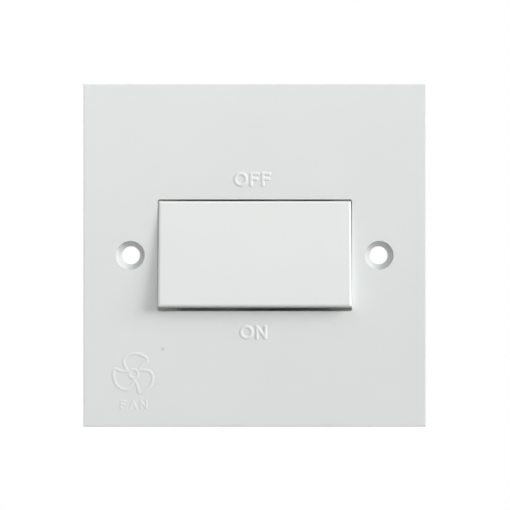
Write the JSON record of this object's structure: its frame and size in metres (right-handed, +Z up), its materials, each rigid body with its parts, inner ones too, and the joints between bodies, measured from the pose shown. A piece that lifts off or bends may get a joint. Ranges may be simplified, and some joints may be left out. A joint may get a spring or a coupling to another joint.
{
  "type": "fan isolator switch",
  "caption": "Square moulded wall plate with one wide rocker that switches a fan's supply, with clamp terminals and rocking contacts in a housing behind it.",
  "frame": {"origin": "centre of the plate's wall face, midway between the two fixing holes", "axes": "+X to the right, +Y into the wall, +Z up; the plate faces -Y"},
  "size_m": [0.084, 0.0287, 0.084],
  "materials": {
    "plate_plastic": "white thermoset moulding, satin gloss",
    "rocker_plastic": "white moulding, satin gloss",
    "housing_plastic": "off-white thermoset moulding, matt",
    "brass": "extruded brass, machined",
    "silver": "silver alloy contact face",
    "nylon": "natural nylon",
    "spring_steel": "drawn spring wire",
    "plated_steel": "zinc-plated steel"
  },
  "bodies": {
    "plate": {"front_plate": "plate_plastic", "switch_housing": "housing_plastic", "terminal_screws": "plated_steel", "housing_screws": "plated_steel", "line_terminal_left": "brass", "line_terminal_middle": "brass", "line_terminal_right": "brass", "load_terminal_left": "brass", "load_terminal_middle": "brass", "load_terminal_right": "brass", "fixed_tip_left": "silver", "fixed_tip_middle": "silver", "fixed_tip_right": "silver"},
    "rocker": {"rocker": "rocker_plastic", "plunger_spring_left": "spring_steel", "plunger_spring_middle": "spring_steel", "plunger_spring_right": "spring_steel"},
    "contact_left": {"contact_bar_left": "brass", "moving_tip_left": "silver"},
    "plunger_left": {"plunger_left": "nylon"},
    "contact_middle": {"contact_bar_middle": "brass", "moving_tip_middle": "silver"},
    "plunger_middle": {"plunger_middle": "nylon"},
    "contact_right": {"contact_bar_right": "brass", "moving_tip_right": "silver"},
    "plunger_right": {"plunger_right": "nylon"}
  },
  "joints": [
    {"name": "rocker_tilt", "type": "hinge", "parent": "plate", "child": "rocker", "pos_m": [0, -0.0056, 0], "axis": [1, 0, 0], "range_deg": [0, 12]},
    {"name": "contact_left_rock", "type": "hinge", "parent": "plate", "child": "contact_left", "pos_m": [-0.015, 0.0099, 0], "axis": [1, 0, 0], "range_deg": [-20, 0]},
    {"name": "plunger_left_slide", "type": "slide", "parent": "rocker", "child": "plunger_left", "axis": [0, -0.9945, 0.1045], "range_m": [0, 0.0006], "stiffness_N_per_m": 800, "deforming": ["plunger_spring_left"]},
    {"name": "contact_middle_rock", "type": "hinge", "parent": "plate", "child": "contact_middle", "pos_m": [0, 0.0099, 0], "axis": [1, 0, 0], "range_deg": [-20, 0]},
    {"name": "plunger_middle_slide", "type": "slide", "parent": "rocker", "child": "plunger_middle", "axis": [0, -0.9945, 0.1045], "range_m": [0, 0.0006], "stiffness_N_per_m": 800, "deforming": ["plunger_spring_middle"]},
    {"name": "contact_right_rock", "type": "hinge", "parent": "plate", "child": "contact_right", "pos_m": [0.015, 0.0099, 0], "axis": [1, 0, 0], "range_deg": [-20, 0]},
    {"name": "plunger_right_slide", "type": "slide", "parent": "rocker", "child": "plunger_right", "axis": [0, -0.9945, 0.1045], "range_m": [0, 0.0006], "stiffness_N_per_m": 800, "deforming": ["plunger_spring_right"]}
  ],
  "couplings": [
    {"joint": "contact_left_rock", "follows": "rocker_tilt", "ratio": -1.6667},
    {"joint": "contact_middle_rock", "follows": "rocker_tilt", "ratio": -1.6667},
    {"joint": "contact_right_rock", "follows": "rocker_tilt", "ratio": -1.6667}
  ]
}
